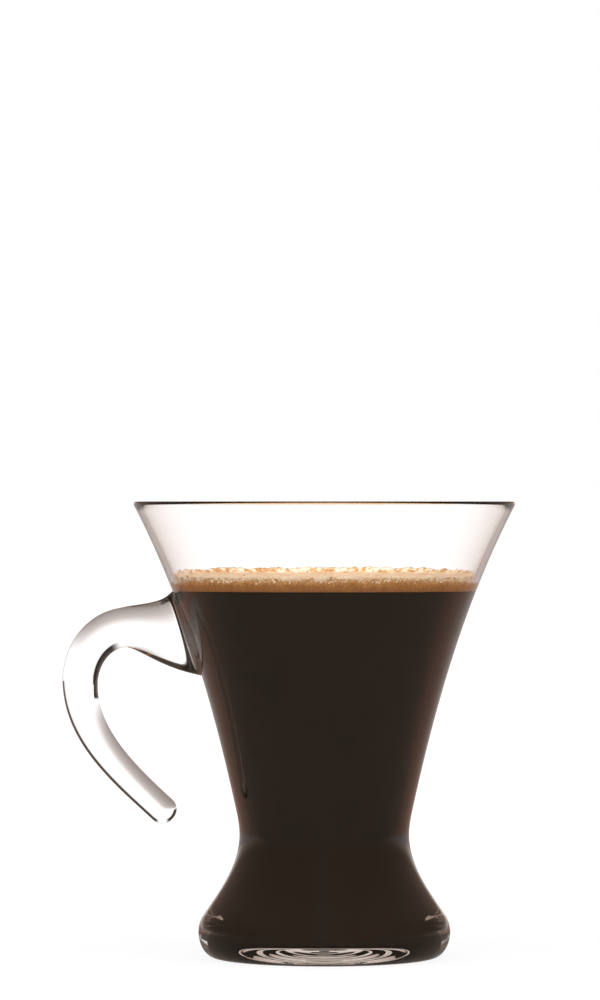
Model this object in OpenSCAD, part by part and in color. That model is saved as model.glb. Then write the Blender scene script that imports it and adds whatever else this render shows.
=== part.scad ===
// Espresso glass: a waisted vessel that flares to a wide mouth, with a hook-shaped handle of solid
// glass fused to its upper wall by one end, filled with coffee under a layer of crema.
// The foot stands on z = 0, the axis of the vessel is +Z and the handle points along -X.

/* [Vessel] */
// Height from the table to the top of the lip
glass_h = 82.4; // [68.7:0.1:98.9]
// Outside diameter across the mouth
mouth_d = 69; // [57:0.5:84]
// Lean of the wall at the mouth, in degrees from vertical
mouth_lean = 27.5; // [23:0.5:33]
// Outside diameter of the throat, where the waist opens into the bowl
throat_d = 32.5; // [31.2:0.1:36]
// Height of the throat
throat_z = 28; // [25:0.1:33.6]
// Lean of the wall at the throat, in degrees from vertical
throat_lean = 12.5; // [8:0.5:16]
// Outside diameter of the waist, the narrowest place
waist_d = 30.7; // [25.6:0.1:31]
// Height of the waist
waist_z = 22.2; // [18.5:0.1:24]
// Outside diameter where the spread of the foot turns into its round heel
shoulder_d = 43.2; // [40:0.1:44]
// Height of that turn
shoulder_z = 8; // [7.7:0.1:9.6]
// Lean of the wall at that turn, in degrees from vertical
shoulder_lean = 34.5; // [30:0.5:40]
// Outside diameter of the heel, the widest place of the foot
heel_d = 45.5; // [45:0.1:54.6]
// Height of the heel
heel_z = 4.7; // [3.9:0.1:5.6]
// Diameter of the flat that stands on the table
foot_d = 38.6; // [32.2:0.1:42]

/* [Glass thickness] */
// Thickness at the lip, rounded over in a full bead
lip_t = 0.9; // [0.75:0.05:1.2]
// Thickness of the wall from the throat down
wall_t = 1.8; // [1.5:0.05:2.2]
// Diameter of the well, the nearly straight inside of the foot below the waist
well_d = 28; // [23.4:0.1:33]
// Thickness of the floor at its edge
floor_t = 3.5; // [2.9:0.05:4.2]
// Rise of the floor from its edge to its centre
floor_rise = 0.3; // [0:0.05:1.2]
// Width of the round corner between floor and wall
corner_w = 0.8; // [0.6:0.05:1]
// Height of that round corner
corner_h = 0.8; // [0.6:0.05:1]

/* [Handle] */
// Drop from the top of the lip to the middle of the handle's root
root_drop = 23.8; // [19.8:0.1:28.5]
// Height of the root where it spreads on the wall, measured along the wall
root_h = 16.5; // [13.8:0.1:19.8]
// Width of the root around the wall
root_w = 20; // [16.7:0.1:24]
// Length over which the root narrows to the rod
flare_len = 12.1; // [10.1:0.1:14.5]
// Thickness of the rod after the root, seen from the side
rod_t = 7.5; // [6.3:0.1:9]
// Width of the rod after the root, seen from the end
rod_w = 7.5; // [6.3:0.1:9]
// Thickness of the rod at its free end, seen from the side
tail_t = 5.1; // [4.8:0.1:6.2]
// Width of the rod at its free end
tail_w = 5.6; // [5.1:0.1:6.8]
// Downward turn of the rod where it leaves the wall, in degrees from level
root_turn = 10; // [5:0.5:15]
// Distance of the crown of the bend from the wall
crown_out = 10.6; // [8.8:0.1:12.7]
// Rise of the crown above the middle of the root
crown_up = 1.1; // [0:0.1:2]
// Distance of the outermost part of the grip from the wall
grip_out = 19.5; // [17:0.1:23.4]
// Drop of the outermost part of the grip below the middle of the root
grip_down = 8.9; // [7.4:0.1:10.7]
// Distance outwards, from the middle of the root, of the free end
tail_out = 4.5; // [3.7:0.1:8]
// Drop of the free end below the middle of the root
tail_down = 32; // [26.7:0.1:36]
// Turn of the free end back towards the vessel, in degrees from straight down
tail_turn = 47.5; // [39.5:0.5:56]
// Radius of the round edge of the free end
tip_round = 2.3; // [1:0.05:2.35]

/* [Fill] */
// Drop from the top of the lip to the crema
headroom = 13.6; // [10:0.1:20]
// Thickness of the crema
crema_t = 2.2; // [1.5:0.1:5]
// Rise of the crema's edge where it clings to the wall
cling_h = 1.2; // [0.2:0.05:1.5]
// Width of that rising edge
cling_w = 2.4; // [1:0.1:4]

/* [Fits] */
// Gap of the fused seat between the handle's root and the wall
seat_gap = 0.04; // [0.03:0.01:0.1]
// Gap between the glass and what fills it
fill_gap = 0.05; // [0.03:0.01:0.1]
// Gap between the coffee and the crema
layer_gap = 0.02; // [0.01:0.01:0.05]

/* [Hidden] */
$fn = 96;
// Steps in each span of a curve
wall_steps = 10;
rod_steps = 14;
// Steps in each rounded edge
round_steps = 8;
tip_steps = 5;
// Sides of the handle's rod, and rings across the face of its root
rod_sides = 40;
root_rings = 9;
// How sharply the root narrows in height, and how much closer to the wall it narrows in width
flare_power = 1.5;
spread_power = 20;

// A station is [across, up, heading], with the heading in degrees from straight up.
function heading(a) = [sin(a), cos(a)];
function place(s) = [s[0], s[1]];

// Length of the handles that make a cubic follow a circular arc between two headings
function pull(p, q) = norm(place(q) - place(p)) / (3 * pow(cos((q[2] - p[2]) / 4), 2));

// Stations along the cubic that leaves p and reaches q on their own headings
function span(p, q, steps) =
    let (k = pull(p, q))
    let (a = place(p))
    let (b = a + k * heading(p[2]))
    let (d = place(q))
    let (c = d - k * heading(q[2]))
    [
        for (i = [0 : steps])
            let (t = i / steps)
            let (u = 1 - t)
            let (at = u * u * u * a + 3 * u * u * t * b + 3 * u * t * t * c + t * t * t * d)
            let (slope = u * u * (b - a) + 2 * u * t * (c - b) + t * t * (d - c))
            [at[0], at[1], atan2(slope[0], slope[1])]
    ];

// Stations along a smooth curve through a list of stations
function curve(stations, steps) =
    [
        for (i = [0 : len(stations) - 2])
            let (piece = span(stations[i], stations[i + 1], steps))
            each [for (j = [i == 0 ? 0 : 1 : steps]) piece[j]]
    ];

function after_first(list) = [for (i = [1 : 1 : len(list) - 1]) list[i]];
function backwards(list) = [for (i = [len(list) - 1 : -1 : 0]) list[i]];
function outline(stations) = [for (s = stations) place(s)];

// Moves stations of a rising wall by t towards the axis, square to the wall
function inset(s, t) = [s[0] - t * cos(s[2]), s[1] + t * sin(s[2]), s[2]];

// Outside of the vessel
lip_r = lip_t / 2;
foot_at = [foot_d / 2, 0, 90];
heel_at = [heel_d / 2, heel_z, 0];
shoulder_at = [shoulder_d / 2, shoulder_z, -shoulder_lean];
waist_at = [waist_d / 2, waist_z, 0];
throat_at = [throat_d / 2, throat_z, throat_lean];
mouth_at = [
    mouth_d / 2 - lip_r * (1 - cos(mouth_lean)),
    glass_h - lip_r * (1 + sin(mouth_lean)),
    mouth_lean
];
foot_curve = curve([foot_at, heel_at], wall_steps);
heel_curve = curve([heel_at, shoulder_at], wall_steps);
foot_side = curve([shoulder_at, waist_at], wall_steps);
bowl_side = curve([waist_at, throat_at, mouth_at], wall_steps);
side_curve = concat(foot_side, after_first(bowl_side));
lip_mid = place(inset(mouth_at, lip_r));
lip_arc = [
    for (i = [1 : round_steps - 1])
        let (a = 180 * i / round_steps - mouth_lean)
        lip_mid + lip_r * [cos(a), sin(a)]
];

// Inside of the vessel
function glass_t(z) =
    z <= throat_z ? wall_t : lip_t + (wall_t - lip_t) * (mouth_at[1] - z) / (mouth_at[1] - throat_z);
bowl_curve = [for (s = bowl_side) inset(s, glass_t(s[1]))];
well_at = [well_d / 2, floor_t + corner_h, 0];
floor_edge_at = [well_at[0] - corner_w, floor_t, 90];
floor_mid_at = [0, floor_t + floor_rise, 90];
floor_curve = curve([floor_mid_at, floor_edge_at], wall_steps);
well_curve = curve([floor_edge_at, well_at, bowl_curve[0]], wall_steps);

// Outside radius of the vessel at a height, from the heel up
wall_table = [for (s = concat(heel_curve, after_first(side_curve))) [s[1], s[0]]];
function wall_r(z) = lookup(z, wall_table);

// What fills the vessel follows its inside
fill_curve = [for (s = concat(well_curve, after_first(bowl_curve))) inset(s, fill_gap)];
fill_floor = [for (s = floor_curve) inset(s, fill_gap)];
fill_table = [for (s = fill_curve) [s[1], s[0]]];
function fill_r(z) = lookup(z, fill_table);
function fill_between(low, high) = [for (s = fill_curve) if (s[1] > low && s[1] < high) place(s)];
crema_top = glass_h - headroom;
coffee_top = crema_top - crema_t;
crema_low = coffee_top + layer_gap;
cling_top = crema_top + cling_h;

// Line of the handle, as [out from the wall, up from the middle of the root, heading]
root_z = glass_h - root_drop;
root_r = wall_r(root_z);
root_lean = atan((wall_r(root_z + 1) - wall_r(root_z - 1)) / 2);
rod_line = curve(
    [
        [0, 0, 90 + root_turn],
        [crown_out, crown_up, 90],
        [grip_out, -grip_down, 180],
        [tail_out, -tail_down, 180 + tail_turn]
    ],
    rod_steps
);
rod_last = len(rod_line) - 1;
rod_run = [
    for (i = 0, run = 0; i <= rod_last; run = run + step_to_next(i), i = i + 1)
        run
];
function step_to_next(i) = i < rod_last ? norm(place(rod_line[i + 1]) - place(rod_line[i])) : 0;

// Share of the root's spread left at a distance along the line, and of the way to the free end
function flare(run) = run < flare_len ? pow(1 - run / flare_len, flare_power) : 0;
function spread(run) = pow(flare(run), spread_power);
function ease(run) = let (t = run / rod_run[rod_last]) t * t * (3 - 2 * t);
function half_t(run) =
    (rod_t + (tail_t - rod_t) * ease(run) + (root_h - rod_t) * flare(run)) / 2;
function half_w(run) =
    (rod_w + (tail_w - rod_w) * ease(run) + (root_w - rod_w) * spread(run)) / 2;

// Upward direction of a section, which turns from along the wall to square to the line
function section_up(s, run) =
    let (square = [-cos(s[2]), sin(s[2])])
    let (mixed = square + (heading(root_lean) - square) * flare(run))
    mixed / norm(mixed);

// One oval section as points in space. Near the root it wraps onto the round wall.
function section(s, run, high, wide) =
    let (up = section_up(s, run))
    [
        for (k = [0 : rod_sides - 1])
            let (a = 360 * k / rod_sides)
            let (at = place(s) + high * cos(a) * up)
            let (y = wide * sin(a))
            let (r = wall_r(root_z + at[1]))
            let (on_wall = sqrt(r * r - y * y) - root_r + seat_gap)
            let (wrap = (on_wall - at[1] * tan(root_lean)) * flare(run))
            [-(root_r + at[0] + wrap), y, root_z + at[1]]
    ];

// Sections from the middle of the root's face, out along the rod and over its rounded end
root_face = [
    for (i = [1 : root_rings - 1])
        section(rod_line[0], 0, half_t(0) * i / root_rings, half_w(0) * i / root_rings)
];
rod_body = [
    for (i = [0 : rod_last])
        section(rod_line[i], rod_run[i], half_t(rod_run[i]), half_w(rod_run[i]))
];
tip_edge = [
    for (i = [1 : tip_steps])
        let (a = 90 * i / tip_steps)
        let (s = rod_line[rod_last])
        let (at = place(s) + tip_round * sin(a) * heading(s[2]))
        let (run = rod_run[rod_last])
        let (cut = tip_round * (1 - cos(a)))
        section([at[0], at[1], s[2]], run, half_t(run) - cut, half_w(run) - cut)
];
rod_sections = concat(root_face, rod_body, tip_edge);
function middle(ring) = [for (axis = [0 : 2]) (ring[0][axis] + ring[rod_sides / 2][axis]) / 2];
root_mid = [-(root_r + seat_gap), 0, root_z];
tip_mid = middle(tip_edge[tip_steps - 1]);

// Triangles of a skin over a list of rings, closed by a point at each end
module skin(first, rings, last, sides) {
    count = len(rings);
    end = 1 + count * sides;
    function at(i, k) = 1 + i * sides + k % sides;
    polyhedron(
        points = concat([first], [for (r = rings) each r], [last]),
        faces = concat(
            [for (k = [0 : sides - 1]) [0, at(0, k), at(0, k + 1)]],
            [
                for (i = [0 : count - 2], k = [0 : sides - 1])
                    each [
                        [at(i, k), at(i + 1, k), at(i + 1, k + 1)],
                        [at(i, k), at(i + 1, k + 1), at(i, k + 1)]
                    ]
            ],
            [for (k = [0 : sides - 1]) [end, at(count - 1, k + 1), at(count - 1, k)]]
        ),
        convexity = 6
    );
}

module turned(points) {
    rotate_extrude(convexity = 6) polygon(points);
}

// The vessel: one wall of glass from the flat foot to the beaded lip
module glass_body() {
    color([0.86, 0.90, 0.91, 0.35])
        turned(concat(
            [[0, 0]],
            outline(foot_curve),
            outline(after_first(heel_curve)),
            outline(after_first(side_curve)),
            lip_arc,
            outline(backwards(bowl_curve)),
            outline(after_first(backwards(well_curve))),
            outline(after_first(backwards(floor_curve)))
        ));
}

// The handle: a solid rod that leaves a spread root, bends over and hangs free
module handle() {
    color([0.88, 0.89, 0.88, 0.45])
        skin(root_mid, rod_sections, tip_mid, rod_sides);
}

// The coffee: fills the vessel from its floor to the crema
module coffee() {
    color([0.13, 0.08, 0.05])
        turned(concat(
            outline(fill_floor),
            outline(after_first([for (s = fill_curve) if (s[1] < coffee_top) s])),
            [[fill_r(coffee_top), coffee_top], [0, coffee_top]]
        ));
}

// The crema: a layer of foam whose edge clings to the wall
module crema() {
    edge = fill_r(cling_top);
    surface_curve = span([edge - cling_w, crema_top, 90], [edge, cling_top, 40], round_steps);
    color([0.80, 0.62, 0.38])
        turned(concat(
            [[0, crema_low], [fill_r(crema_low), crema_low]],
            fill_between(crema_low, cling_top),
            outline(backwards(surface_curve)),
            [[0, crema_top]]
        ));
}

glass_body();
handle();
coffee();
crema();
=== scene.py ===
# %% [markdown]
# # An espresso glass, full, on white
#
# The object is a small clear glass with a wide mouth, a narrow waist and a round foot. A hook of
# solid glass is fused to its wall at one end and hangs free at the other. Dark coffee fills it,
# with a layer of golden foam on top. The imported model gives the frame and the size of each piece,
# and every surface that shows is worked out here with numpy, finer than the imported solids.

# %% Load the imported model
import math

import bpy
import numpy as np
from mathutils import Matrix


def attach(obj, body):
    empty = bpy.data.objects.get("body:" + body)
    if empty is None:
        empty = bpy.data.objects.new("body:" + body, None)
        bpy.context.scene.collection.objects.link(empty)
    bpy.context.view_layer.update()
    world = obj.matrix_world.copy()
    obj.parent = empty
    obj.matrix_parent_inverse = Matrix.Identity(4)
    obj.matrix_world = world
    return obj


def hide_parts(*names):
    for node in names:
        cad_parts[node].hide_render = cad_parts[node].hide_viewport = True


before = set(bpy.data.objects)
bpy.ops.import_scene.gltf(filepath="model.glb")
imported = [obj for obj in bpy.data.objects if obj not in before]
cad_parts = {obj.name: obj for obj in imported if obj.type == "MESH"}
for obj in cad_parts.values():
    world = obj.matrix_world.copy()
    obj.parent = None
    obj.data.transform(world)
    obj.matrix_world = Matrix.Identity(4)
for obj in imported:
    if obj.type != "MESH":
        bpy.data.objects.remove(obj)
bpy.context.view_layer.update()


# %% [markdown]
# ## The camera
#
# The rim of the glass shows as a single line, so the lens is level with the lip. The foot's ellipse
# is very flat, so the camera stands about a metre away with a long lens. It could be aimed and
# zoomed by eye, but the picture gives it: one pixel of its 600 by 1000 covers 0.1808 mm at the axis
# of the glass, which settles the lens once the distance is chosen.

# %% Camera
PIXEL_MM = 0.1808
PICTURE_W, PICTURE_H = 600, 1000
AXIS_PIXEL, TABLE_PIXEL = 324.3, 957.1
CAMERA_MM, SENSOR_MM = 960.0, 36.0


def put(name, data):
    """New object that shows this data, at the origin and linked into the scene."""
    thing = bpy.data.objects.new(name, data)
    bpy.context.scene.collection.objects.link(thing)
    return thing


lens_data = bpy.data.cameras.new("camera")
lens_data.sensor_width = SENSOR_MM
lens_data.lens = SENSOR_MM * CAMERA_MM / (PICTURE_H * PIXEL_MM)
lens_data.clip_start, lens_data.clip_end = 0.01, 20.0
camera = put("camera", lens_data)
camera.location = (
    (PICTURE_W / 2 - AXIS_PIXEL) * PIXEL_MM / 1000,
    -CAMERA_MM / 1000,
    (TABLE_PIXEL - PICTURE_H / 2) * PIXEL_MM / 1000,
)
camera.rotation_euler = (math.radians(90), 0, 0)
bpy.context.scene.camera = camera
print("camera:", [round(v, 4) for v in camera.location], "lens", round(lens_data.lens, 1))

# %% [markdown]
# ## Small tools for smooth shapes
#
# A pressed glass has hardly a straight line: its side is one flowing curve. It could be drawn by
# hand as a Blender curve, but a list of stations is easier to measure. Each station has a place and
# a heading, and a cubic runs from one to the next. The length of its two handles is the chord over
# three times the squared cosine of a quarter of the turn, which makes a cubic follow a circular arc
# very closely.

# %% Curves through stations


def heading(angle):
    """Unit vector (across, up) for an angle in degrees from straight up, positive outwards."""
    a = np.radians(angle)
    return np.stack([np.sin(a), np.cos(a)], axis=-1)


def span(p, q, steps):
    """Points (across, up, heading) on the cubic that leaves p and reaches q on their headings."""
    a, d = np.array(p[:2], float), np.array(q[:2], float)
    pull = np.linalg.norm(d - a) / (3 * math.cos(math.radians(q[2] - p[2]) / 4) ** 2)
    b, c = a + pull * heading(p[2]), d - pull * heading(q[2])
    t = np.linspace(0, 1, steps + 1)[:, None]
    u = 1 - t
    at = u**3 * a + 3 * u * u * t * b + 3 * u * t * t * c + t**3 * d
    slope = u * u * (b - a) + 2 * u * t * (c - b) + t * t * (d - c)
    return np.column_stack([at, np.degrees(np.arctan2(slope[:, 0], slope[:, 1]))])


def curve(stations, steps):
    """One smooth run of points through all the stations, each shared point kept once."""
    runs = [span(p, q, steps) for p, q in zip(stations, stations[1:])]
    return np.vstack([runs[0]] + [r[1:] for r in runs[1:]])


def inset(points, t):
    """Points of a rising wall moved by t towards the axis, square to the wall."""
    a = np.radians(points[:, 2])
    return np.column_stack(
        [points[:, 0] - t * np.cos(a), points[:, 1] + t * np.sin(a), points[:, 2]]
    )


quarter = curve([(0, 1, 90), (1, 0, 180)], steps=8)
print("a quarter circle is off by", round(float(np.ptp(np.hypot(*quarter[:, :2].T))), 4))

# %% [markdown]
# ## From grids of points to meshes
#
# Every piece here is a grid: one direction runs along a profile or a rod, the other goes round. A
# screw or bevel modifier could turn a line into such a surface, but a plain array leaves each point
# free to move. The two ends of the tube are closed with a single point each, so no hole is left at
# a pole. Faces are built as whole arrays, and from_pydata puts them into a mesh.

# %% Tubes closed at both ends


def tube_faces(n, sides):
    """Faces over n rings with a point before and after them: quads, then a fan at each end."""
    k = np.arange(sides)
    nxt = (k + 1) % sides
    start = 1 + np.arange(n - 1)[:, None] * sides
    quads = np.stack([start + k, start + nxt, start + sides + nxt, start + sides + k], axis=-1)
    top = 1 + (n - 1) * sides
    first_fan = np.stack([np.zeros_like(k), 1 + nxt, 1 + k], axis=-1)
    last_fan = np.stack([np.full_like(k, top + sides), top + k, top + nxt], axis=-1)
    return quads.reshape(-1, 4), first_fan, last_fan


def smooth_piece(name, points, face_sets):
    """Object at the origin: a smooth mesh of points in millimetres and a few arrays of faces."""
    mesh = bpy.data.meshes.new(name)
    faces = [face for part in face_sets for face in part.tolist()]
    mesh.from_pydata((points / 1000).tolist(), [], faces)
    mesh.polygons.foreach_set("use_smooth", np.ones(len(mesh.polygons), dtype=bool))
    mesh.update()
    print(name, "has", len(mesh.polygons), "faces")
    return put(name, mesh)


def closed_tube(name, rings, first, last):
    """Piece over an array of rings (n, sides, 3) in millimetres, closed by a point at each end."""
    n, sides, _ = rings.shape
    points = np.vstack([[first], rings.reshape(-1, 3), [last]])
    return smooth_piece(name, points, tube_faces(n, sides))


def turned(name, profile, sides):
    """Revolved profile (across, up): its first and last points lie on the axis and close it."""
    a = np.linspace(0, 2 * np.pi, sides, endpoint=False)
    across, up = profile[1:-1, 0][:, None], profile[1:-1, 1][:, None]
    rings = np.stack(
        np.broadcast_arrays(across * np.cos(a), across * np.sin(a), up), axis=-1
    )
    return closed_tube(name, rings, (0, 0, profile[0, 1]), (0, 0, profile[-1, 1]))


# %% [markdown]
# ## The vessel
#
# The vessel is one pressed piece of glass. Its outside runs from the flat foot over the round heel,
# in to the waist and out to the wide mouth. Above the waist the inside is the same line moved in by
# the thickness, which falls from 1.8 mm at the throat to 0.9 mm at the lip, where a round bead
# joins the two. Below the waist the foot is thick: a straight well goes down to the floor. A
# solidify modifier would give one thickness everywhere, so outside and inside are two lines here,
# each with its own stations.

# %% Outside of the vessel
GLASS_H, MOUTH_D, MOUTH_LEAN = 82.4, 69.0, 27.5
LIP_T, WALL_T = 0.9, 1.8
lip_r, lean = LIP_T / 2, math.radians(MOUTH_LEAN)
foot_at, heel_at = (19.3, 0, 90), (22.75, 4.7, 0)
shoulder_at, waist_at, throat_at = (21.6, 8.0, -34.5), (15.35, 22.2, 0), (16.25, 28.0, 12.5)
mouth_at = (
    MOUTH_D / 2 - lip_r * (1 - math.cos(lean)),
    GLASS_H - lip_r * (1 + math.sin(lean)),
    MOUTH_LEAN,
)
foot_curve = curve([foot_at, heel_at], steps=24)
heel_curve = curve([heel_at, shoulder_at], steps=16)
foot_side = curve([shoulder_at, waist_at], steps=40)
bowl_side = curve([waist_at, throat_at, mouth_at], steps=40)
outer_wall = np.vstack([heel_curve, foot_side[1:], bowl_side[1:]])
print("waist", 2 * outer_wall[:, 0].min(), "mm across")

# %% Inside of the vessel
FLOOR_T, FLOOR_RISE = 3.5, 0.3
WELL_D, CORNER_W, CORNER_H = 28.0, 0.8, 0.8
thickness = np.interp(bowl_side[:, 1], [throat_at[1], mouth_at[1]], [WALL_T, LIP_T])
bowl_curve = inset(bowl_side, thickness)
well_at = (WELL_D / 2, FLOOR_T + CORNER_H, 0)
floor_edge_at = (well_at[0] - CORNER_W, FLOOR_T, 90)
floor_curve = curve([(0, FLOOR_T + FLOOR_RISE, 90), floor_edge_at], steps=160)
well_curve = curve([floor_edge_at, well_at, tuple(bowl_curve[0])], steps=20)
inner_wall = np.vstack([well_curve, bowl_curve[1:]])
print("well", WELL_D, "mm across, over a floor of", FLOOR_T, "mm")

# %% Lip
BEAD_STEPS = 16
bead = np.radians(np.linspace(0, 180, BEAD_STEPS + 1)[1:-1]) - lean
lip_mid = inset(np.array([mouth_at]), lip_r)[0, :2]
lip_arc = lip_mid + lip_r * np.column_stack([np.cos(bead), np.sin(bead)])
print("mouth", round(2 * lip_arc[:, 0].max(), 2), "mm across")

# %% [markdown]
# ## Marks of the tool on the floor
#
# The plunger that presses the well leaves faint rings on the floor. They are only a few hundredths
# of a millimetre deep, but the thick base works as a lens and spreads them into bright and dark
# stripes. A bump in the shader would bend the light at the surface only roughly, so the rings are
# in the mesh: a cosine over the radius, which fades out before the corner of the well.

# %% Rings on the floor
RING_MM, RING_DEPTH = 2.6, 0.04
ring_fade = np.clip((floor_edge_at[0] - floor_curve[:, 0]) / RING_MM, 0, 1)
floor_curve[:, 1] += RING_DEPTH * ring_fade * np.cos(2 * np.pi * floor_curve[:, 0] / RING_MM)
print("rings on the floor", round(floor_edge_at[0] / RING_MM, 1))

# %% Vessel mesh
UNDERSIDE_POINTS = 24
underside = np.linspace((0, 0), (foot_at[0], 0), UNDERSIDE_POINTS)
vessel_profile = np.vstack(
    [
        underside[:-1],
        foot_curve[:-1, :2],
        outer_wall[:, :2],
        lip_arc,
        inner_wall[::-1, :2],
        floor_curve[::-1][1:, :2],
    ]
)
vessel = turned("vessel", vessel_profile, sides=192)

# %% [markdown]
# ## The handle
#
# The maker lays a hot gather on the wall, pulls it out and lets it bend over, so the root spreads
# on the wall and the rod thins towards its free end. A curve with a bevel would give a round rod
# but not the spread root, so here an oval section is carried along a line. Near the root the
# section leans to lie along the wall and wraps round it, and that influence fades along the flare.

# %% Line of the handle
ROOT_DROP = 23.8
ROOT_Z = GLASS_H - ROOT_DROP
rod_root, rod_crown = (0, 0, 100), (10.6, 1.1, 90)
rod_out, rod_tail = (19.5, -8.9, 180), (4.5, -32.0, 227.5)


def wall_r(z):
    """Outside radius of the vessel at height z."""
    return np.interp(z, outer_wall[:, 1], outer_wall[:, 0])


root_r = float(wall_r(ROOT_Z))
root_lean = math.degrees(math.atan(float(wall_r(ROOT_Z + 1) - wall_r(ROOT_Z - 1)) / 2))
rod_line = curve([rod_root, rod_crown, rod_out, rod_tail], steps=48)
rod_run = np.r_[0, np.cumsum(np.linalg.norm(np.diff(rod_line[:, :2], axis=0), axis=1))]
print("handle", round(float(rod_run[-1]), 1), "mm long, root leans", round(root_lean, 1))

# %% Sections of the handle
ROOT_H, ROOT_W, FLARE_LEN, FLARE_POWER, SPREAD_POWER = 16.5, 20.0, 12.1, 1.5, 20.0
ROD_T, ROD_W, TAIL_T, TAIL_W = 7.5, 7.5, 5.1, 5.6
SEAT_MM = -0.25
ROD_SIDES = 72


def flare(run):
    """Share of the root's spread left at a distance along the rod."""
    return np.clip(1 - run / FLARE_LEN, 0, 1) ** FLARE_POWER


def half_sizes(run):
    """Half thickness and half width: root, then rod, easing to the tail."""
    t = run / rod_run[-1]
    ease = t * t * (3 - 2 * t)
    high = ROD_T + (TAIL_T - ROD_T) * ease + (ROOT_H - ROD_T) * flare(run)
    wide = ROD_W + (TAIL_W - ROD_W) * ease + (ROOT_W - ROD_W) * flare(run) ** SPREAD_POWER
    return high / 2, wide / 2


def sections(line, run, high, wide):
    """Ovals on the line: middle + high*cos*up + wide*sin*Y, then wrapped onto the wall by flare."""
    square = np.column_stack([-np.cos(np.radians(line[:, 2])), np.sin(np.radians(line[:, 2]))])
    fade = flare(run)[:, None]
    up = square + (heading(root_lean) - square) * fade
    up /= np.linalg.norm(up, axis=1, keepdims=True)
    a = np.linspace(0, 2 * np.pi, ROD_SIDES, endpoint=False)
    out = line[:, :1] + high[:, None] * np.cos(a) * up[:, :1]
    rise = line[:, 1:2] + high[:, None] * np.cos(a) * up[:, 1:]
    y = wide[:, None] * np.sin(a)
    on_wall = np.sqrt(wall_r(ROOT_Z + rise) ** 2 - y**2) - root_r + SEAT_MM
    wrap = (on_wall - rise * math.tan(math.radians(root_lean))) * fade
    return np.stack([-(root_r + out + wrap), y, ROOT_Z + rise], axis=-1)


high, wide = half_sizes(rod_run)
rod_body = sections(rod_line, rod_run, high, wide)
print("rod", round(2 * high[0], 1), "mm high at the root,", round(2 * high[-1], 1), "at the tail")

# %% Ends of the handle
TIP_ROUND = 2.3
ROOT_RINGS, TIP_RINGS, TIP_FACE_RINGS = 11, 12, 5


def level_face(station, run, high, wide, shares):
    """Copies of the section at one station, scaled by shares, that close an end of the rod."""
    line = np.repeat(station[None], len(shares), axis=0)
    return sections(line, np.full(len(shares), run), high * shares, wide * shares)


grow = np.linspace(0, 1, ROOT_RINGS + 2)[1:-1]
root_face = level_face(rod_line[0], 0.0, high[0], wide[0], grow)
turn = np.radians(np.linspace(0, 90, TIP_RINGS + 1)[1:])
tail = rod_line[-1]
tip_at = tail[:2] + TIP_ROUND * np.sin(turn)[:, None] * heading(tail[2])
tip_line = np.column_stack([tip_at, np.full(TIP_RINGS, tail[2])])
cut = TIP_ROUND * (1 - np.cos(turn))
tip_edge = sections(tip_line, np.full(TIP_RINGS, rod_run[-1]), high[-1] - cut, wide[-1] - cut)
shrink = np.linspace(1, 0, TIP_FACE_RINGS + 2)[1:-1]
tip_face = level_face(tip_line[-1], rod_run[-1], high[-1] - cut[-1], wide[-1] - cut[-1], shrink)
rod_rings = np.concatenate([root_face, rod_body, tip_edge, tip_face])
root_mid, tip_mid = (-(root_r + SEAT_MM), 0, ROOT_Z), tip_edge[-1].mean(axis=0)
handle = closed_tube("hook_handle", rod_rings, root_mid, tip_mid)

# %% [markdown]
# ## The coffee
#
# Coffee wets the glass, so there is no air between them: light that has come through the wall meets
# the liquid at once. Two closed meshes that only touch would leave a thin gap of air, and the wall
# would then mirror the room at its edges. So the coffee reaches a little way into the wall, except
# over the floor, where a thin gap lets the thick glass pipe light from side to side.

# %% Wetted wall
WETTED, FLOOR_AIR = 0.08, 0.05
# Wetting at the two ends of the well's curve, before it is cut to a share between 0 and 1
WET_AT_FLOOR, WET_AT_WAIST = -0.3, 9.0
wet_wall = inset(inner_wall, -WETTED)
well_points = len(well_curve)


def wet_r(z):
    """Radius of what fills the glass at height z, a little inside the wall."""
    return np.interp(z, wet_wall[:, 1], wet_wall[:, 0])


wet_share = np.clip(np.linspace(WET_AT_FLOOR, WET_AT_WAIST, well_points), 0, 1)[:, None]
dry_corner = inset(well_curve, FLOOR_AIR)[:, :2]
corner = dry_corner * (1 - wet_share) + wet_wall[:well_points, :2] * wet_share
print("coffee is wet from", round(float(corner[wet_share[:, 0] == 1][0, 1]), 2), "mm up")

# %% Coffee
HEADSPACE, CREMA_T = 13.6, 2.2
CREMA_TOP = GLASS_H - HEADSPACE
COFFEE_TOP = CREMA_TOP - CREMA_T
TOP_CLEAR, TOP_POINTS = 0.2, 24
floor_skin = floor_curve[:, :2] + [0, FLOOR_AIR]
wet_side = wet_wall[well_points:, :2]
wet_side = wet_side[wet_side[:, 1] < COFFEE_TOP - TOP_CLEAR]
coffee_top = np.linspace((wet_r(COFFEE_TOP), COFFEE_TOP), (0, COFFEE_TOP), TOP_POINTS)
coffee_profile = np.vstack([floor_skin, corner[1:], wet_side, coffee_top])
coffee = turned("coffee_fill", coffee_profile, sides=160)
print("coffee stands to", round(COFFEE_TOP, 1), "mm")

# %% [markdown]
# ## The crema
#
# The foam is a thick layer of small bubbles. Where it meets the wall it climbs in an uneven line,
# so its edge can't be a plain revolved profile. A sculpted edge would do, but here the height of
# the edge is a function of the angle: the highest of many round lumps, low near the lens and high
# behind. The surface falls from it to the level middle. The upper part of the foam has dried back
# from the glass along a wavy line, which lets the wall shine there.

# %% Edge of the foam
rng = np.random.default_rng(7)
CREMA_SIDES = 720
LUMPS, LUMP_WIDTH, LUMP_TALL = 130, (1.0, 4.0), (0.1, 0.55)
EDGE_LOW, EDGE_BEHIND, LUMP_FRONT = 0.12, 0.70, 0.25


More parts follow.
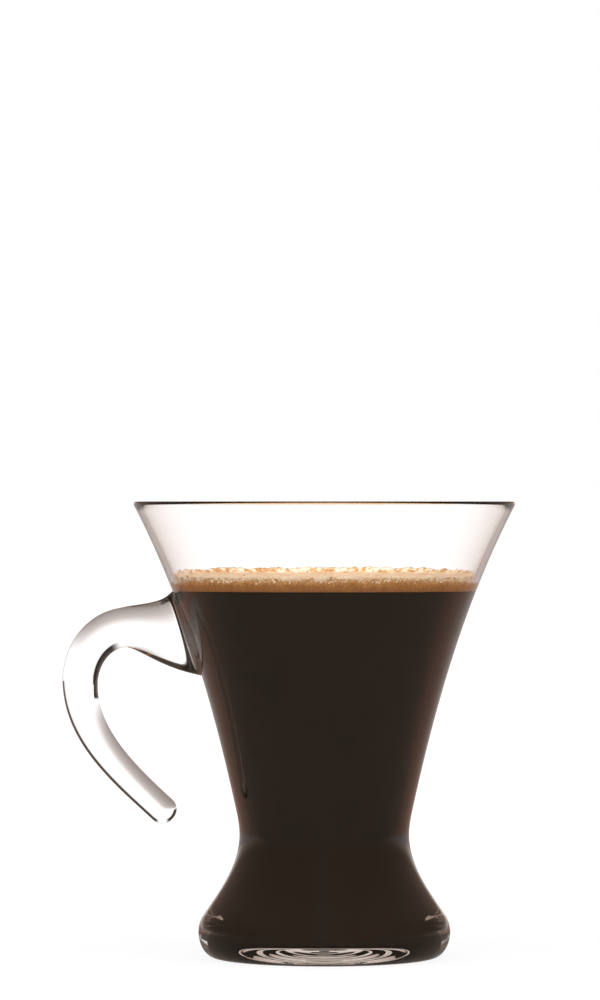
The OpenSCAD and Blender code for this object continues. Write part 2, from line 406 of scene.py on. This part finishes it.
def edge_rise(angle):
    """Height of the foam's edge over its level: low near the lens, high behind, with round lumps."""
    at = rng.uniform(0, 2 * np.pi, LUMPS)
    width = np.radians(rng.uniform(*LUMP_WIDTH, LUMPS))
    tall = rng.uniform(*LUMP_TALL, LUMPS)
    away = np.angle(np.exp(1j * (angle[:, None] - at)))
    lump = (tall * np.exp(-((away / width) ** 2))).max(axis=1)
    behind = (1 + np.sin(angle)) / 2
    return EDGE_LOW + EDGE_BEHIND * behind**2 + lump * (LUMP_FRONT + (1 - LUMP_FRONT) * behind)


angle = np.linspace(0, 2 * np.pi, CREMA_SIDES, endpoint=False)
top_edge = CREMA_TOP + edge_rise(angle)
print("foam climbs", round(float(np.ptp(top_edge)), 2), "mm at most over its lowest edge")

# %% Underside and side of the foam
CREMA_DIP, UNDER_RINGS, SIDE_RINGS = 0.05, 10, 26
DRY_GAP, DRY_UP, DRY_WAVE, DRY_BLEND = 0.18, 1.35, 0.10, 0.25
low_z = COFFEE_TOP - CREMA_DIP
under_r = np.linspace(0, 1, UNDER_RINGS + 2)[1:-1, None] * wet_r(low_z) + np.zeros(CREMA_SIDES)
waves = np.array([7, 16, 31, 57, 93])[:, None]
dry_z = COFFEE_TOP + DRY_UP + (DRY_WAVE * np.sin(waves * angle + waves**2)).sum(axis=0)
side_z = low_z + np.linspace(0, 1, SIDE_RINGS)[:, None] * (top_edge - low_z)
dry = np.clip((side_z - dry_z) / DRY_BLEND, 0, 1)
side_r = wet_r(side_z) - (WETTED + DRY_GAP) * dry
print("dry line", round(dry_z.min() - low_z, 2), "to", round(dry_z.max() - low_z, 2), "mm up the foam")

# %% Top of the foam
CLING_W, CLING_RINGS, CLING_POWER = 2.4, 13, 2.5
LEVEL_RINGS, RIPPLE, RIPPLE_PACE = 38, 0.05, 1.3
fall = np.linspace(0, 1, CLING_RINGS + 1)[1:, None]
edge_r = wet_r(top_edge) - WETTED - DRY_GAP
cling_r = edge_r - CLING_W * fall
cling_z = CREMA_TOP + (top_edge - CREMA_TOP) * (1 - fall) ** CLING_POWER
level = np.linspace(1, 0, LEVEL_RINGS + 2)[1:-1, None]
level_r = (edge_r - CLING_W) * level
swell = np.sin(level_r * RIPPLE_PACE + 2 * np.sin(3 * angle))
level_z = CREMA_TOP + RIPPLE * swell * level * (1 - level) * 4
foam_r = np.vstack([under_r, side_r, cling_r, level_r])
foam_z = np.vstack([np.full_like(under_r, low_z), side_z, cling_z, level_z])
foam_rings = np.stack([foam_r * np.cos(angle), foam_r * np.sin(angle), foam_z], axis=-1)
crema = closed_tube("crema_foam", foam_rings, (0, 0, low_z), (0, 0, CREMA_TOP))

# %% [markdown]
# ## Bubbles along the wall
#
# Larger bubbles gather where the foam meets the glass. They could be instances of one ball on
# scattered points, but a part for reuse is simpler as plain meshes. Each is a ball of a few dozen
# faces, and all of them are one mesh, so that several hundred cost little.

# %% Bubbles
BUBBLES, BUBBLE_MIN, BUBBLE_MORE, BUBBLE_SKEW = 520, 0.10, 0.28, (1.2, 4.0)
BUBBLE_SINK, BUBBLE_SCATTER, BUBBLE_BEHIND, BUBBLE_FREE = 0.15, 0.28, 0.5, 0.01


def ball(around, rings):
    """Points and faces of a unit ball: rings of latitude, with a point at each pole."""
    v = np.linspace(0, np.pi, rings + 2)[1:-1, None]
    u = np.linspace(0, 2 * np.pi, around, endpoint=False)
    grid = np.stack(
        np.broadcast_arrays(np.sin(v) * np.cos(u), np.sin(v) * np.sin(u), -np.cos(v)), axis=-1
    )
    points = np.vstack([[[0, 0, -1]], grid.reshape(-1, 3), [[0, 0, 1]]])
    return points, tube_faces(rings, around)


def bubbles(name, centres, radii):
    """One mesh of balls, each scaled by a radius and moved to a centre."""
    points, face_sets = ball(around=8, rings=4)
    spots = (centres[:, None, :] + radii[:, None, None] * points).reshape(-1, 3)
    jump = (np.arange(len(centres)) * len(points))[:, None, None]
    return smooth_piece(name, spots, [(jump + f).reshape(-1, f.shape[1]) for f in face_sets])


bubble_angle = rng.uniform(0, 2 * np.pi, BUBBLES)
bubble_size = BUBBLE_MIN + BUBBLE_MORE * rng.beta(*BUBBLE_SKEW, BUBBLES)
bubble_z = CREMA_TOP - BUBBLE_SINK + rng.normal(0.0, BUBBLE_SCATTER, BUBBLES)
bubble_z += BUBBLE_BEHIND * np.clip(np.sin(bubble_angle), 0, 1)
bubble_r = wet_r(bubble_z) - WETTED - BUBBLE_FREE - bubble_size
bubble_mid = np.column_stack(
    [bubble_r * np.cos(bubble_angle), bubble_r * np.sin(bubble_angle), bubble_z]
)
wall_bubbles = bubbles("crema_bubbles", bubble_mid, bubble_size)
print("bubbles up to", round(2 * float(bubble_size.max()), 2), "mm across")

# %% [markdown]
# ## Tools for finishes
#
# A finish is a small graph of nodes. It could be wired by hand in the shader editor, and these few
# helpers do the same in words: add a node, do a sum, ease between two values, read a colour ramp.
# Patterns are read at the Object coordinates, in metres, so they keep their real size on the piece.

# %% Node helpers


def add(tree, kind, values=None, **settings):
    """A new node with its settings, and its named inputs set to values or linked to sockets."""
    node = tree.nodes.new(kind)
    for key, value in settings.items():
        setattr(node, key, value)
    for key, value in (values or {}).items():
        if isinstance(value, bpy.types.NodeSocket):
            tree.links.new(value, node.inputs[key])
        else:
            node.inputs[key].default_value = value
    return node


def calc(tree, operation, a, b=0.0, c=0.0):
    """Socket with the result of one sum on sockets or numbers."""
    return add(tree, "ShaderNodeMath", {0: a, 1: b, 2: c}, operation=operation).outputs[0]


def times(tree, first, *others):
    """Socket with the product of sockets or numbers."""
    for other in others:
        first = calc(tree, "MULTIPLY", first, other)
    return first


def ease_between(tree, value, low, high):
    """Socket that rises smoothly from 0 to 1 while value goes from low to high."""
    values = {"Value": value, "From Min": low, "From Max": high}
    return add(tree, "ShaderNodeMapRange", values, interpolation_type="SMOOTHSTEP").outputs[0]


def ramp(tree, value, stops):
    """Socket with a colour read from (position, colour) stops."""
    node = add(tree, "ShaderNodeValToRGB", {"Fac": value})
    while len(node.color_ramp.elements) < len(stops):
        node.color_ramp.elements.new(1.0)
    for element, (position, colour) in zip(node.color_ramp.elements, stops):
        element.position = position
        element.color = (*colour, 1)
    return node.outputs["Color"]


# %% Materials and patterns


def new_material(name):
    """A node material with its Principled shader linked to its output, and the object's place."""
    material = bpy.data.materials.new(name)
    material.use_nodes = True
    tree = material.node_tree
    tree.nodes.clear()
    shader = add(tree, "ShaderNodeBsdfPrincipled")
    out = add(tree, "ShaderNodeOutputMaterial", {"Surface": shader.outputs["BSDF"]})
    place = add(tree, "ShaderNodeTexCoord").outputs["Object"]
    print("finish", name)
    return material, tree, shader, out, place


def noise(tree, place, scale, detail, **extra):
    """Node with cloudy values; scale is in waves to the metre."""
    values = {"Vector": place, "Scale": scale, "Detail": detail}
    return add(tree, "ShaderNodeTexNoise", values, **extra)


def link_bump(tree, shader, height, strength, distance):
    """Bends the shader's normal by a height, in metres for a height of 1."""
    values = {"Height": height, "Strength": strength, "Distance": distance}
    bump = add(tree, "ShaderNodeBump", values)
    tree.links.new(bump.outputs["Normal"], shader.inputs["Normal"])


# %% [markdown]
# ## Clear glass
#
# Soda glass bends light by an index of 1.5 and is not quite colourless: a long path through it
# looks grey-brown. A tint on the surface would colour thin and thick glass alike, so the colour is
# in the volume, as absorption over the length of the path. Pressing leaves the surface very
# slightly wavy, which a faint noise in the normal gives. The thick handle absorbs less per metre
# than the wall, so that both look equally clear.

# %% Glass
GLASS_INDEX = 1.5
GLASS_TINT = (0.60, 0.54, 0.50)
WAVE_HEIGHT, WAVE_STRENGTH = 0.0002, 0.05


def clear_glass(name, density, wave_mm):
    """Transmitting shader with absorption in its volume and a faint waviness from noise."""
    material, tree, shader, out, place = new_material(name)
    shader.inputs["Base Color"].default_value = (1, 1, 1, 1)
    shader.inputs["Roughness"].default_value = 0.0
    shader.inputs["IOR"].default_value = GLASS_INDEX
    shader.inputs["Transmission Weight"].default_value = 1.0
    tint = {"Color": (*GLASS_TINT, 1), "Density": density}
    absorb = add(tree, "ShaderNodeVolumeAbsorption", tint)
    tree.links.new(absorb.outputs["Volume"], out.inputs["Volume"])
    wave = noise(tree, place, scale=1000 / wave_mm, detail=1.0).outputs["Fac"]
    link_bump(tree, shader, wave, WAVE_STRENGTH, WAVE_HEIGHT)
    return material


vessel_glass = clear_glass("vessel_glass", density=18.0, wave_mm=14.0)
handle_glass = clear_glass("handle_glass", density=10.0, wave_mm=9.0)

# %% [markdown]
# ## Coffee
#
# Espresso is so dense that a few millimetres of it let no light through. A transmitting shader with
# a heavy volume would show the same and take far longer, so the coffee is an opaque, nearly black
# brown with faint clouds. The glass in front of it already mirrors the room, so the liquid itself
# has no gloss.

# %% Coffee finish
COFFEE_DARK, COFFEE_LIGHT = (0.016, 0.0105, 0.006), (0.020, 0.0125, 0.007)
coffee_dark, tree, shader, _, place = new_material("coffee_dark")
cloud = noise(tree, place, scale=60.0, detail=2.0).outputs["Fac"]
tint = ramp(tree, cloud, [(0.3, COFFEE_DARK), (0.7, COFFEE_LIGHT)])
tree.links.new(tint, shader.inputs["Base Color"])
shader.inputs["Roughness"].default_value = 0.4
shader.inputs["Specular IOR Level"].default_value = 0.0

# %% [markdown]
# ## Foam
#
# Crema is brown where it rests on the coffee and pales upwards, with fine bubbles all through it
# and brown patches along its high edge. An image could carry that, but it would not follow the
# edge. Here the height over the coffee, a cloud and the cells of a Voronoi pattern are added up, and
# the sum is read from a ramp of foam colours. The cells paint a highlight into the middle of each
# bubble and painted shade at its rim. The cells also bend the normal, so bubbles catch light.

# %% Foam finish
FOAM_REACH = 2.6
CLOUD_SHARE, CELL_GLINT_SHARE, FOAM_SHIFT, PATCH_SHARE = 0.7, -0.5, -0.12, -0.40
PATCH_FROM, PATCH_FULL, PATCH_BLEND, PATCH_SEED = 0.08, 0.4, (0.46, 0.56), 3.0
CELLS_TO_METRE, CELL_HEIGHT, CELL_STRENGTH = 2600.0, 0.0002, 0.6
FOAM_COLOURS = [
    (0.0, (0.36, 0.130, 0.022)),
    (0.35, (0.48, 0.175, 0.028)),
    (0.60, (0.62, 0.270, 0.065)),
    (0.80, (0.80, 0.470, 0.200)),
    (1.0, (0.93, 0.780, 0.600)),
]
crema_tan, tree, shader, _, place = new_material("crema_tan")
cells = add(tree, "ShaderNodeTexVoronoi", {"Vector": place, "Scale": CELLS_TO_METRE})
cells = cells.outputs["Distance"]
cloud = noise(tree, place, scale=500.0, detail=4.0).outputs["Fac"]
patch = noise(tree, place, scale=620.0, detail=2.0, noise_dimensions="4D")
patch.inputs["W"].default_value = PATCH_SEED
height = add(tree, "ShaderNodeSeparateXYZ", {"Vector": place}).outputs["Z"]
lift = calc(tree, "MULTIPLY_ADD", height, 1000 / FOAM_REACH, -COFFEE_TOP / FOAM_REACH)
# Voronoi cells: each bubble's middle is a painted highlight and its rim is painted shade
bubble_glint_and_shade = calc(tree, "MULTIPLY_ADD", cells, CELL_GLINT_SHARE, FOAM_SHIFT)
mottled_and_glints = calc(tree, "MULTIPLY_ADD", cloud, CLOUD_SHARE, bubble_glint_and_shade)
patch_low, patch_high = (CREMA_TOP + PATCH_FROM) / 1000, (CREMA_TOP + PATCH_FULL) / 1000
edge = ease_between(tree, height, patch_low, patch_high)
brown = times(tree, edge, ease_between(tree, patch.outputs["Fac"], *PATCH_BLEND))
mixed = calc(tree, "MULTIPLY_ADD", brown, PATCH_SHARE, calc(tree, "ADD", lift, mottled_and_glints))
tree.links.new(ramp(tree, mixed, FOAM_COLOURS), shader.inputs["Base Color"])
shader.inputs["Roughness"].default_value = 0.35
shader.inputs["Specular IOR Level"].default_value = 0.5
link_bump(tree, shader, cells, CELL_STRENGTH, CELL_HEIGHT)

# %% [markdown]
# ## Bubble skins
#
# A bubble at the wall shows the pale skin of foam, and here and there the brown liquid behind it.
# Thin clear shells would be the true way, but they need many bounces for a dot of a few pixels. So
# the balls are opaque, and a noise between two colours makes some of them pale and some brown.

# %% Bubble finish
SKIN_BROWN, SKIN_PALE = (0.62, 0.28, 0.08), (1.0, 0.82, 0.56)
bubble_cream, tree, shader, _, place = new_material("bubble_cream")
cloud = noise(tree, place, scale=900.0, detail=1.0).outputs["Fac"]
tint = ramp(tree, cloud, [(0.36, SKIN_BROWN), (0.48, SKIN_PALE)])
tree.links.new(tint, shader.inputs["Base Color"])
shader.inputs["Roughness"].default_value = 0.2

# %% [markdown]
# ## Finishes and bodies
#
# The real object moves as one: the handle is fused, and what fills the glass goes with it. So every
# piece rides the one body of the imported model. Each shape here stands for a solid of that model,
# except the bubbles, which belong to the foam.

# %% Give each piece its finish and its body
for piece, material, slot, node in (
    (vessel, vessel_glass, "vessel_glass", "glass_body"),
    (handle, handle_glass, "handle_glass", "handle"),
    (coffee, coffee_dark, "coffee", "coffee"),
    (crema, crema_tan, "crema", "crema"),
    (wall_bubbles, bubble_cream, "crema", None),
):
    piece.data.materials.append(material)
    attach(piece, "root")
    if node:
        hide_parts(node)
    print(piece.name, "rides root as", slot)

# %% [markdown]
# ## The studio: three kinds of rays
#
# The glass stands on a white table in front of a white wall, lit by soft boxes. Clear glass has no
# colour of its own: it is drawn by what it bends and mirrors into view. A photographer hangs dark
# cards just out of the picture and shades the room behind the lens. Real cards would also darken
# the object, so here the room is told apart by the kind of ray that meets it: straight from the
# lens, bent by the glass, mirrored by it, or light for the surfaces.

# %% Kinds of rays
WHITE, CARD = (1.0, 1.0, 1.0), (0.02, 0.017, 0.015)
BENT_LIGHT = 1.26


def seen_by(tree):
    """Sockets that are 1 for camera rays, for rays bent only, and for rays mirrored, or else 0."""
    path = add(tree, "ShaderNodeLightPath").outputs
    looking = calc(tree, "LESS_THAN", path["Diffuse Depth"], 0.5)
    mirror = times(tree, looking, calc(tree, "GREATER_THAN", path["Glossy Depth"], 0.5))
    bent_only = calc(tree, "SUBTRACT", looking, mirror)
    return path["Is Camera Ray"], times(tree, path["Is Transmission Ray"], bent_only), mirror


def pick(tree, default, *cases):
    """Shader that is the default, or the last case whose socket is 1."""
    shader = default
    for fac, other in cases:
        values = {"Fac": fac, 1: shader.outputs[0], 2: other.outputs[0]}
        shader = add(tree, "ShaderNodeMixShader", values)
    return shader


def mix_colour(tree, fac, a, b):
    """Socket with a colour that goes from a to b, each a socket or (red, green, blue)."""
    a, b = ((*c, 1) if isinstance(c, tuple) else c for c in (a, b))
    return add(tree, "ShaderNodeMix", {0: fac, 6: a, 7: b}, data_type="RGBA").outputs[2]


print("cards of", CARD, "in a room of", WHITE)

# %% [markdown]
# ## Dark cards in a white room
#
# Rays bent by the glass leave it at an angle that grows towards its edges. A card that stands from
# about 45 degrees off the line of sight turns those edges dark and leaves the middle white. Planes
# in the scene could be such cards, but a ramp over the direction puts their edge exactly where it
# is wanted. The cards hang at the sides only, and stop before the direction square to the lens.

# %% World: room behind the glass
CARD_TILT, CARD_TO_HANDLE = 0.28, -0.12
CARD_SIDES, CARD_STOP = (0.25, 0.6), (0.985, 0.955)
ROOM_SHADES = [(0.0, WHITE), (0.45, WHITE), (0.655, (0.80, 0.78, 0.76)), (0.69, CARD), (1.0, CARD)]

world = bpy.data.worlds.new("studio")
world.use_nodes = True
bpy.context.scene.world = world
tree = world.node_tree
tree.nodes.clear()
is_camera, is_bent, is_mirror = seen_by(tree)
way = add(tree, "ShaderNodeTexCoord").outputs["Generated"]
across, along, up = add(tree, "ShaderNodeSeparateXYZ", {"Vector": way}).outputs
side = calc(tree, "ABSOLUTE", across)
spread = calc(tree, "SQRT", calc(tree, "SUBTRACT", 1.0, times(tree, along, along)))
leaning = calc(tree, "MULTIPLY_ADD", across, CARD_TO_HANDLE, spread)
leaning = calc(tree, "MULTIPLY_ADD", up, CARD_TILT, leaning)
sideways = calc(tree, "DIVIDE", side, calc(tree, "MAXIMUM", spread, 0.01))
hung = ease_between(tree, sideways, *CARD_SIDES)
hung = times(tree, hung, ease_between(tree, side, *CARD_STOP))
wall = mix_colour(tree, hung, WHITE, ramp(tree, leaning, ROOM_SHADES))
print("cards start at", round(math.degrees(math.asin(ROOM_SHADES[3][0]))), "degrees off the view")

# %% [markdown]
# ## A dim room in the mirror
#
# Coffee behind glass is a dark mirror. Towards its outline it mirrors the room more and more, and
# there a plain white room would draw white edges. In the photograph those edges are brown, so rays
# mirrored by the glass meet a dim, warm room: dark behind the lens, lighter beyond the glass. What
# the outside of the foot mirrors, up and to the sides, is darker still, while rays that were
# mirrored inside the glass keep the lighter room and draw the stripes of the base.

# %% World: room in the mirror
DIM_FRONT, UPPER_BROWN = (0.28, 0.235, 0.205), (0.29, 0.20, 0.16)
TO_SIDE, TO_TOP = (0.03, 0.2), (0.0, 0.15)
DIM_SHADES = [
    (0.0, DIM_FRONT),
    (0.3, DIM_FRONT),
    (0.60, (0.44, 0.32, 0.265)),
    (0.72, (0.58, 0.44, 0.375)),
    (0.9, (0.66, 0.53, 0.465)),
    (1.0, (1.0, 0.90, 0.83)),
]
dim = ramp(tree, calc(tree, "MULTIPLY_ADD", along, 0.5, 0.5), DIM_SHADES)
bends = add(tree, "ShaderNodeLightPath").outputs["Transmission Depth"]
outside = calc(tree, "LESS_THAN", bends, 0.5)
to_side, to_top = ease_between(tree, side, *TO_SIDE), ease_between(tree, up, *TO_TOP)
dim = mix_colour(tree, times(tree, outside, to_side, to_top), dim, UPPER_BROWN)
print("mirrored room has", len(DIM_SHADES), "shades")

# %% World: light of the room
ROOM_LIGHT, FRONT_LIGHT = 0.8, 1.6
front = calc(tree, "MAXIMUM", times(tree, along, -1.0), 0.0)
room_light = calc(tree, "MULTIPLY_ADD", front, FRONT_LIGHT, ROOM_LIGHT)
room = add(tree, "ShaderNodeBackground", {"Color": (*WHITE, 1), "Strength": room_light})
plain = add(tree, "ShaderNodeBackground", {"Color": (*WHITE, 1), "Strength": 1.0})
bent = add(tree, "ShaderNodeBackground", {"Color": wall, "Strength": BENT_LIGHT})
mirrored = add(tree, "ShaderNodeBackground", {"Color": dim, "Strength": 1.0})
studio = pick(tree, room, (is_mirror, mirrored), (is_bent, bent), (is_camera, plain))
add(tree, "ShaderNodeOutputWorld", {"Surface": studio.outputs[0]})
print("room light", ROOM_LIGHT, "and from the front", ROOM_LIGHT + FRONT_LIGHT)

# %% [markdown]
# ## The table
#
# The table is a white sheet that runs out of the picture. The lens sees it as white with a soft
# shadow: the shadow is real, and a glow that is painted a little darker near the glass adds painted
# shade there. Bent through the handle it shows as a grey ramp of painted shade, dark under the glass
# and white further off, with a painted dark card behind on the left: that shades the crown of the
# handle. Mirrored in the bowl, which leans outwards, it shows painted shade, a warm brown near by and
# a pale grey far off. A picture of a table could be laid on it, but a few eased distances give the
# same and are easy to tune.

# %% Floor plane
FLOOR_HALF, FLOOR_DROP = 4.0, 0.00005
corners = FLOOR_HALF * np.array([(-1, -1, 0), (1, -1, 0), (1, 1, 0), (-1, 1, 0)])
floor_mesh = bpy.data.meshes.new("floor")
floor_mesh.from_pydata(corners.tolist(), [], [(0, 1, 2, 3)])
floor = put("floor", floor_mesh)
floor.location = (0, 0, -FLOOR_DROP)
white_floor = bpy.data.materials.new("white_floor")
white_floor.use_nodes = True
floor.data.materials.append(white_floor)
tree = white_floor.node_tree
tree.nodes.clear()
is_camera, is_bent, is_mirror = seen_by(tree)
place = add(tree, "ShaderNodeTexCoord").outputs["Object"]
distance = add(tree, "ShaderNodeVectorMath", {0: place}, operation="LENGTH").outputs["Value"]
across, along, _ = add(tree, "ShaderNodeSeparateXYZ", {"Vector": place}).outputs
print("floor", 2 * FLOOR_HALF, "m wide")

# %% Floor bent through the glass
TABLE_REACH, FRONT_PACE = 0.55, -4.0
HANDLE_X, LEFT_PACE, BESIDE_FADE = 0.036, -0.5, (0.03, 0.12)
CARD_LEFT, CARD_SLANT, CARD_RETREAT = (0.27, 0.33), (0.80, 0.90), (0.17, 0.30)
NO_LESS = 0.001
# Painted shade: to rays bent by the glass, the white table is shown dark under and behind the glass
TABLE_PAINTED_SHADES = [
    (0.0, (0.235, 0.20, 0.185)),
    (0.08, (0.285, 0.245, 0.23)),
    (0.17, (0.39, 0.35, 0.335)),
    (0.29, (0.52, 0.47, 0.455)),
    (0.39, (0.68, 0.63, 0.61)),
    (0.53, (0.83, 0.79, 0.78)),
    (0.80, (0.96, 0.95, 0.94)),
    (1.0, WHITE),
]
behind = calc(tree, "MAXIMUM", along, times(tree, along, FRONT_PACE))
table = ramp(tree, calc(tree, "DIVIDE", behind, TABLE_REACH), TABLE_PAINTED_SHADES)
from_handle = calc(tree, "ADD", across, HANDLE_X)
beside = calc(tree, "MAXIMUM", from_handle, times(tree, from_handle, LEFT_PACE))
table = mix_colour(tree, ease_between(tree, beside, *BESIDE_FADE), table, WHITE)
left = times(tree, across, -1.0)
slant = calc(tree, "DIVIDE", left, calc(tree, "MAXIMUM", along, NO_LESS))
retreat = calc(tree, "DIVIDE", along, calc(tree, "MAXIMUM", left, NO_LESS))
# Painted dark card on the table behind the glass on the left: painted shade on the crown of the handle
painted_card_shade = times(
    tree,
    ease_between(tree, left, *CARD_LEFT),
    ease_between(tree, slant, *CARD_SLANT),
    ease_between(tree, retreat, *CARD_RETREAT),
)
table = mix_colour(tree, painted_card_shade, table, CARD)
print("table turns white", TABLE_REACH, "m behind the glass")

# %% Floor in the mirror
NEAR_SHADE_BROWN, FAR_GREY, REAR_SHADE_BROWN = (0.48, 0.29, 0.225), (0.52, 0.45, 0.42), (0.26, 0.17, 0.13)
FAR_FADE, CLOSE_FADE, REAR_FADE, FRONT_FADE = (0.15, 0.42), (0.10, 0.06), (0.005, 0.03), (0.08, 0.0)
# Painted shade in reflections: the white table shows warm brown near the glass, darker just behind it,
# pale grey far off
mirrored_shade = mix_colour(tree, ease_between(tree, distance, *FAR_FADE), NEAR_SHADE_BROWN, FAR_GREY)
close = ease_between(tree, distance, *CLOSE_FADE)
rear = times(tree, ease_between(tree, along, *REAR_FADE), close)
mirrored_shade = mix_colour(tree, rear, mirrored_shade, REAR_SHADE_BROWN)
mirrored_shade = mix_colour(tree, ease_between(tree, along, *FRONT_FADE), mirrored_shade, DIM_FRONT)
print("mirrored floor goes from", NEAR_SHADE_BROWN, "to", FAR_GREY)

# %% Floor shader
MATT_GREY, SHADOW_GREY = (0.8, 0.8, 0.8), (0.12, 0.12, 0.12)
GLOW_NEAR_PAINTED_SHADE, GLOW_MORE, GLOW_FADE = 0.86, 0.12, (0.05, 0.25)
matt = add(tree, "ShaderNodeBsdfDiffuse", {"Color": (*MATT_GREY, 1)})
faint = add(tree, "ShaderNodeBsdfDiffuse", {"Color": (*SHADOW_GREY, 1)})
# The glow is painted darker near the glass: painted shade there, added to the real shadow that the
# faint diffuse keeps
far = ease_between(tree, distance, *GLOW_FADE)
glow_light = calc(tree, "MULTIPLY_ADD", far, GLOW_MORE, GLOW_NEAR_PAINTED_SHADE)
glow = add(tree, "ShaderNodeEmission", {"Strength": glow_light})
shown = add(tree, "ShaderNodeAddShader", {0: faint.outputs[0], 1: glow.outputs[0]})
bent = add(tree, "ShaderNodeEmission", {"Color": table, "Strength": BENT_LIGHT})
mirrored = add(tree, "ShaderNodeEmission", {"Color": mirrored_shade})
sheet = pick(tree, matt, (is_mirror, mirrored), (is_bent, bent), (is_camera, shown))
add(tree, "ShaderNodeOutputMaterial", {"Surface": sheet.outputs[0]})
print("floor glows at", GLOW_NEAR_PAINTED_SHADE, "near the glass and keeps its shadow")

# %% [markdown]
# ## Lamps
#
# The foam is the only piece that needs light of its own: glass and dark coffee are drawn by the
# room. Spot lamps would throw hard shadows, so one large soft box hangs over the glass and two
# smaller ones stand at the sides. Neither mirrors nor glass show them, so they add no glints. Glass
# within glass takes many bends, so the paths of light may be long.

# %% Lamps
GLASS_MIDDLE = (0, 0, 0.04)


def soft_box(name, place, size, power):
    """A square area lamp at a place, turned towards the glass, that no mirror shows."""
    data = bpy.data.lights.new(name, "AREA")
    data.size, data.energy = size, power
    lamp = put(name, data)
    lamp.location = place
    back = np.array(place, float) - np.array(GLASS_MIDDLE, float)
    reach = math.hypot(back[0], back[1])
    lamp.rotation_euler = (math.atan2(reach, back[2]), 0, math.atan2(back[0], -back[1]))
    lamp.visible_glossy = False
    lamp.visible_transmission = False
    print("soft box", name, power, "W")


soft_box("over", (0.0, 0.1, 0.9), size=0.8, power=0.8)
soft_box("left", (-0.8, -0.5, 0.5), size=0.4, power=2.5)
soft_box("right", (0.8, -0.5, 0.5), size=0.4, power=2.5)
bpy.context.scene.view_settings.view_transform = "Standard"
paths = bpy.context.scene.cycles
paths.max_bounces, paths.glossy_bounces, paths.transmission_bounces = 24, 8, 16
